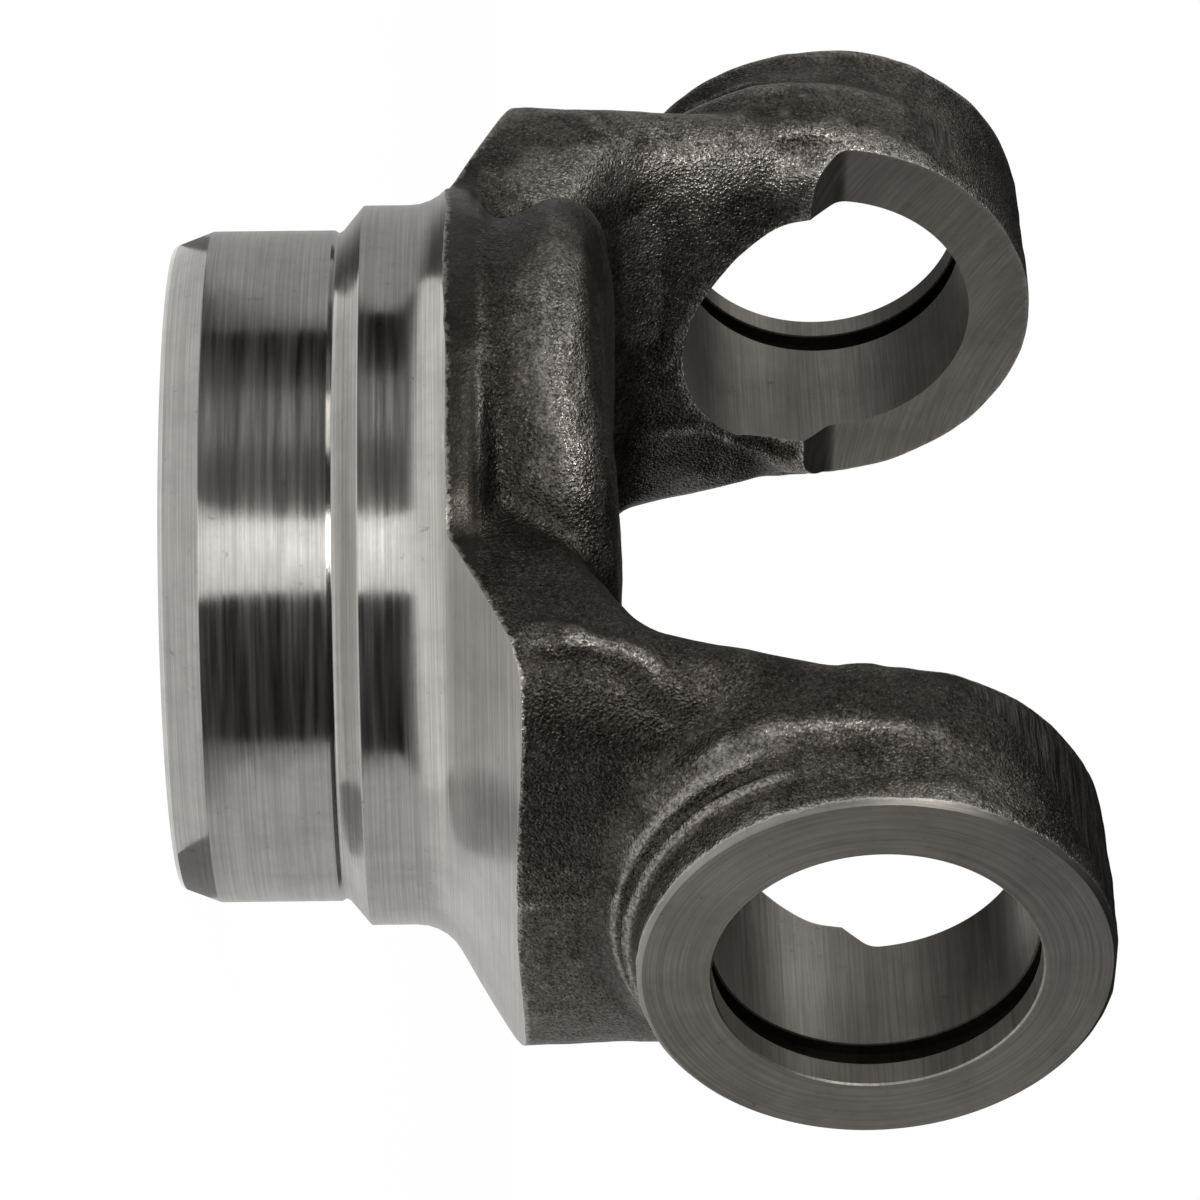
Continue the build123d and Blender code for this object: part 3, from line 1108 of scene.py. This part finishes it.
def seen_directly(n):
    """1 for what the camera sees, itself or in a reflection or through glass, and 0 for scattered light."""
    path = n.node("ShaderNodeLightPath").outputs
    seen = n.math("MAXIMUM", path["Is Camera Ray"], path["Is Glossy Ray"])
    return n.math("MAXIMUM", seen, path["Is Transmission Ray"])


def studio_world():
    """White to the camera and in reflections, dim as a source of plain light."""
    world = bpy.data.worlds.new("studio")
    bpy.context.scene.world = world
    world.use_nodes = True
    n = Nodes(world.node_tree)
    world.node_tree.nodes.clear()
    background = n.node("ShaderNodeBackground")
    background.inputs["Color"].default_value = (1, 1, 1, 1)
    strength = n.ramp(seen_directly(n), 0, 1, sizes("yoke_studio").plain, 1.0, smooth=False)
    n.put(background.inputs["Strength"], strength)
    out = n.node("ShaderNodeOutputWorld")
    n.put(out.inputs["Surface"], background.outputs[0])


def floor_piece():
    """Pale floor: white where it is seen, and still darkened by the object's shadow."""
    mesh = bpy.data.meshes.new("floor")
    mesh.from_pydata([(-4, -4, 0), (4, -4, 0), (4, 4, 0), (-4, 4, 0)], [], [(0, 1, 2, 3)])
    floor = placed("floor", mesh)
    made, n = material("pale_floor")
    plain = n.node("ShaderNodeBsdfDiffuse")
    plain.inputs["Color"].default_value = (0.9, 0.9, 0.9, 1)
    glow = n.node("ShaderNodeEmission")
    glow.inputs["Strength"].default_value = 1.06
    blend = n.node("ShaderNodeMixShader")
    n.put(blend.inputs[0], n.times(seen_directly(n), 0.93))
    n.put(blend.inputs[1], plain.outputs[0])
    n.put(blend.inputs[2], glow.outputs[0])
    out = n.node("ShaderNodeOutputMaterial")
    n.put(out.inputs["Surface"], blend.outputs[0])
    mesh.materials.append(made)


# The camera's own directions: to its right, up, and from the object to it
RIGHT = np.array((0.01748908, -0.00111445, 0.99984643))
UP = np.array((-0.67417935, -0.7384862, 0.01096945))
TOWARDS = np.array((0.73836057, -0.67426767, -0.01366678))
STAND = np.array((0.32681, -0.29400, 0.03098))


def camera():
    """Long-lens camera level with the spigot, turned so that the shaft axis lies across the picture."""
    s = sizes("yoke_studio")
    data = bpy.data.cameras.new("camera")
    data.sensor_width = 36
    data.lens = s.lens
    data.clip_start = 0.01
    made = placed("camera", data)
    turn = Matrix(np.stack([RIGHT, UP, TOWARDS], 1).tolist()).to_4x4()
    made.matrix_world = Matrix.Translation(STAND.tolist()) @ turn
    bpy.context.scene.camera = made


def glowing(name, level, steep=None):
    """Plain glow of a card. A second level makes it glow like a grid: that much when seen square on."""
    finish, n = material(name)
    glow = n.node("ShaderNodeEmission")
    glow.inputs["Color"].default_value = (1.0, 0.985, 0.965, 1)
    glow.inputs["Strength"].default_value = level
    if steep is not None:
        facing = n.node("ShaderNodeLayerWeight")
        facing.inputs["Blend"].default_value = 0.5
        n.put(glow.inputs["Strength"], n.ramp(facing.outputs["Facing"], 0.5, 0.82, steep, level))
    n.put(n.node("ShaderNodeOutputMaterial").inputs["Surface"], glow.outputs[0])
    return finish


def level_way(turn):
    """Level direction at an angle from the camera's direction towards the picture's top."""
    return np.cos(turn) * TOWARDS * (1, 1, 0) + np.sin(turn) * UP * (1, 1, 0)


def sector(name, start, end, rings, level, steep=None):
    """Card that follows a circle round the shaft axis, seen only in reflections.

    Each ring is a radius and a height, and the card runs from one angle to another, counted in degrees
    from the camera's direction towards the picture's top. Its levels are those of its glow.
    """
    count = 13
    way = level_way(np.radians(np.linspace(start, end, count))[:, None])
    points = np.concatenate([way * radius + (0, 0, height) for radius, height in rings])
    first = (np.arange(len(rings) - 1)[:, None] * count + np.arange(count - 1)[None, :]).ravel()
    faces = np.stack([first, first + 1, first + count + 1, first + count], -1)
    mesh = bpy.data.meshes.new(name)
    mesh.from_pydata(points.tolist(), [], faces.tolist())
    mesh.materials.append(glowing(name, level, steep))
    made = placed(name, mesh)
    for kind in ("camera", "diffuse", "shadow", "transmission", "volume_scatter"):
        setattr(made, "visible_" + kind, False)


def card(name, start, end, level, steep, apron):
    """A low wall beside the object, the strip of floor before it, and the floor at the object's foot."""
    wall = [(CARD_DISTANCE, 0.0), (CARD_DISTANCE, CARD_TOP)]
    inner, middle, outer = ((radius, CARD_LIFT) for radius in (APRON_START, APRON_END, CARD_DISTANCE))
    sector(name + "_wall", start, end, wall, level)
    sector(name + "_floor", start, end, [middle, outer], level, steep)
    sector(name + "_apron", start, end, [inner, middle], apron)


def lamp(name, angle, rise, width, length, power, gloss=True):
    """Soft lamp aimed at the object, at an angle from the camera towards the picture's top and one up."""
    turn, up = math.radians(angle), math.radians(rise)
    way = level_way(turn) * math.cos(up) + np.array((0, 0, math.sin(up)))
    data = bpy.data.lights.new(name, "AREA")
    data.shape = "RECTANGLE"
    data.size = width
    data.size_y = length
    data.energy = power
    data.color = (1.0, 0.98, 0.95)
    made = placed(name, data)
    place = way * LAMP_DISTANCE + (0, 0, LAMP_AIM)
    made.matrix_world = Matrix.Translation(place.tolist()) @ look(way)
    made.visible_camera = False
    made.visible_glossy = gloss


def look(way):
    """Turn that points an object's own -Z axis against a direction, with its Y axis near the shaft's."""
    back = way / np.linalg.norm(way)
    side = np.cross((0, 0, 1), back)
    side /= np.linalg.norm(side)
    return Matrix(np.stack([side, np.cross(back, side), back], 1).tolist()).to_4x4()


class YOKE_OT_stage(bpy.types.Operator):
    """Sets up the floor, the cards, the lamps and the camera"""

    bl_idname = "yoke.stage"
    bl_label = "Studio"

    def execute(self, context):
        context.scene.view_settings.view_transform = "Standard"
        studio_world()
        floor_piece()
        camera()
        s = sizes("yoke_studio")
        card("front", -8, 14, s.wall_front, s.grid_front, s.apron_front)
        card("upper", 14, 60, s.wall_upper, s.grid_front, s.apron_front)
        card("black", 60, 84, s.wall_black, s.grid_front, s.apron_front)
        card("top", 84, 180, s.wall_top, s.grid_top, s.apron_top)
        card("dark", -60, -8, s.wall_dark, s.grid_front, s.apron_front)
        card("low", -180, -60, s.wall_low, s.grid_low, s.apron_low)
        middle = [(CARD_DISTANCE, CARD_TOP), (CARD_DISTANCE, HOOD_MIDDLE)]
        ceiling = [(CARD_DISTANCE, HOOD_MIDDLE), (CARD_DISTANCE, HOOD_TOP), (HOOD_HOLE, HOOD_TOP)]
        sector("hood_middle", -60, 84, middle, s.hood_mid)
        sector("hood_ceiling", -60, 84, ceiling, s.hood_high)
        sector("hood_top", 84, 180, middle[:1] + ceiling, s.hood_top)
        sector("hood_low", -180, -60, middle[:1] + ceiling, s.hood_low)
        lamp("front", 8, 20, 0.16, 0.12, s.lamp_front)
        lamp("key", 72, 42, 0.25, 0.25, s.lamp_key)
        lamp("side", 50, 18, 0.2, 0.15, s.lamp_side)
        lamp("back", 120, 30, 0.3, 0.3, s.lamp_back)
        lamp("fill", -40, 35, 0.5, 0.4, s.lamp_fill, False)
        return {"FINISHED"}


class YOKE_PT_panel(bpy.types.Panel):
    """Lists the steps that build the yoke"""

    bl_label = "Forged yoke"
    bl_idname = "YOKE_PT_panel"
    bl_space_type = "VIEW_3D"
    bl_region_type = "UI"
    bl_category = "Yoke"

    def draw(self, context):
        for step in STEPS:
            self.layout.operator(step.bl_idname)


GROUPS = {
    "yoke_turned": TurnedSizes,
    "yoke_forged": ForgedSizes,
    "yoke_ear": EarSizes,
    "yoke_studio": StudioSizes,
}
STEPS = (YOKE_OT_forging, YOKE_OT_stage)


def register():
    for name, group in GROUPS.items():
        bpy.utils.register_class(group)
        setattr(bpy.types.Scene, name, PointerProperty(type=group))
    for kind in STEPS + (YOKE_PT_panel,):
        bpy.utils.register_class(kind)


def unregister():
    for kind in (YOKE_PT_panel,) + STEPS[::-1]:
        bpy.utils.unregister_class(kind)
    for name, group in GROUPS.items():
        delattr(bpy.types.Scene, name)
        bpy.utils.unregister_class(group)


def main():
    """Builds everything."""
    register()
    bpy.ops.yoke.forging()
    bpy.ops.yoke.stage()


if __name__ == "__main__":
    main()
